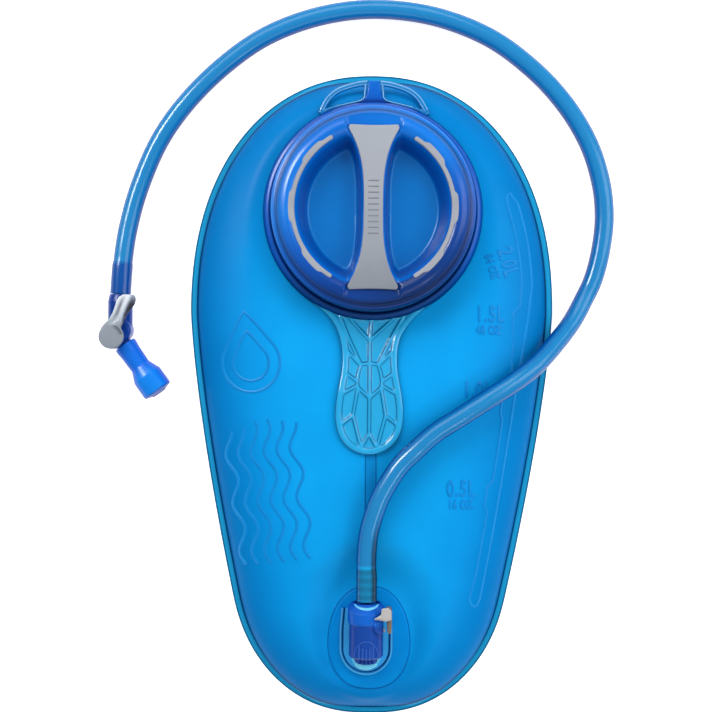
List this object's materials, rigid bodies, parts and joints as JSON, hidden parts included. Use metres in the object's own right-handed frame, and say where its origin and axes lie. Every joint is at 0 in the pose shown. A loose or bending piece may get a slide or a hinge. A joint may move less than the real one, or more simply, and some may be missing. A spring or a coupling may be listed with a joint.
{
  "type": "hydration bladder",
  "caption": "Film drinking-water reservoir with a wide screw cap, clear fill handle, quick-release outlet, drink hose, shut-off valve and soft bite valve.",
  "frame": {"origin": "on the level surface that the reservoir's back lies on, under the middle of its length and width", "axes": "+Z out of the cap, +Y from the outlet to the cap end, +X to the right when the cap faces the viewer with +Y up"},
  "size_m": [0.2773, 0.3866, 0.05],
  "materials": {
    "film": "fine-grain translucent polyurethane film",
    "clear_tpu": "clear moulded polyurethane",
    "blue_plastic": "satin translucent royal blue",
    "grey_grip": "matte soft-touch grey",
    "seal_white": "soft translucent silicone",
    "white_plastic": "smooth acetal",
    "steel": "stainless spring wire",
    "grey_plastic": "satin grey",
    "seal_black": "black rubber",
    "hose": "glossy translucent blue tube",
    "silicone": "satin blue silicone"
  },
  "bodies": {
    "reservoir": {"front_film": "film", "rear_film": "film", "baffle_web": "film", "collar_ring": "clear_tpu", "eye_strap_left": "clear_tpu", "eye_strap_right": "clear_tpu", "fill_collar": "blue_plastic", "fill_neck": "blue_plastic", "collar_tab": "blue_plastic", "outlet_flange": "clear_tpu", "outlet_socket": "blue_plastic", "poppet_spring": "steel"},
    "handle": {"fill_handle": "clear_tpu"},
    "seal": {"cap_seal": "seal_white"},
    "cap": {"cap_shell": "blue_plastic", "cap_skirt": "blue_plastic", "cap_cup": "blue_plastic", "cap_grip_bar": "grey_grip", "cap_grip_left": "grey_grip", "cap_grip_right": "grey_grip"},
    "poppet": {"outlet_poppet": "white_plastic"},
    "button": {"release_button": "grey_plastic", "latch_plate": "white_plastic"},
    "hose_line": {"connector_plug": "blue_plastic", "plug_seal": "seal_black", "drink_hose": "hose", "shutoff_body": "blue_plastic"},
    "lever": {"shutoff_lever": "grey_plastic", "shutoff_spool": "white_plastic", "spool_seal": "seal_black"},
    "mouthpiece": {"bite_valve": "silicone"}
  },
  "joints": [
    {"name": "handle_lift", "type": "hinge", "parent": "reservoir", "child": "handle", "pos_m": [0, 0.037, 0.0285], "axis": [-1, 0, 0], "range_deg": [0, 35]},
    {"name": "cap_lift", "type": "slide", "parent": "reservoir", "child": "seal", "axis": [0, 0, 1], "range_m": [0, 0.06]},
    {"name": "cap_turn", "type": "hinge", "parent": "seal", "child": "cap", "pos_m": [0, 0.097, 0.044], "axis": [0, 0, 1], "range_deg": [0, 90]},
    {"name": "connector_pull", "type": "slide", "parent": "reservoir", "child": "hose_line", "axis": [0, 1, 0], "range_m": [0, 0.016]},
    {"name": "poppet_slide", "type": "slide", "parent": "reservoir", "child": "poppet", "axis": [0, 1, 0], "range_m": [0, 0.004]},
    {"name": "button_press", "type": "slide", "parent": "reservoir", "child": "button", "axis": [-1, 0, 0], "range_m": [0, 0.0012], "stiffness_N_per_m": 400, "springref_m": -0.001},
    {"name": "lever_turn", "type": "hinge", "parent": "hose_line", "child": "lever", "pos_m": [-0.1392, 0.03, 0.0083], "axis": [0, 0, 1], "range_deg": [0, 90]},
    {"name": "bite_valve_pull", "type": "slide", "parent": "hose_line", "child": "mouthpiece", "axis": [0.5878, -0.809, 0], "range_m": [0, 0.012]}
  ],
  "couplings": [
    {"joint": "poppet_slide", "follows": "connector_pull", "ratio": 0.25}
  ]
}
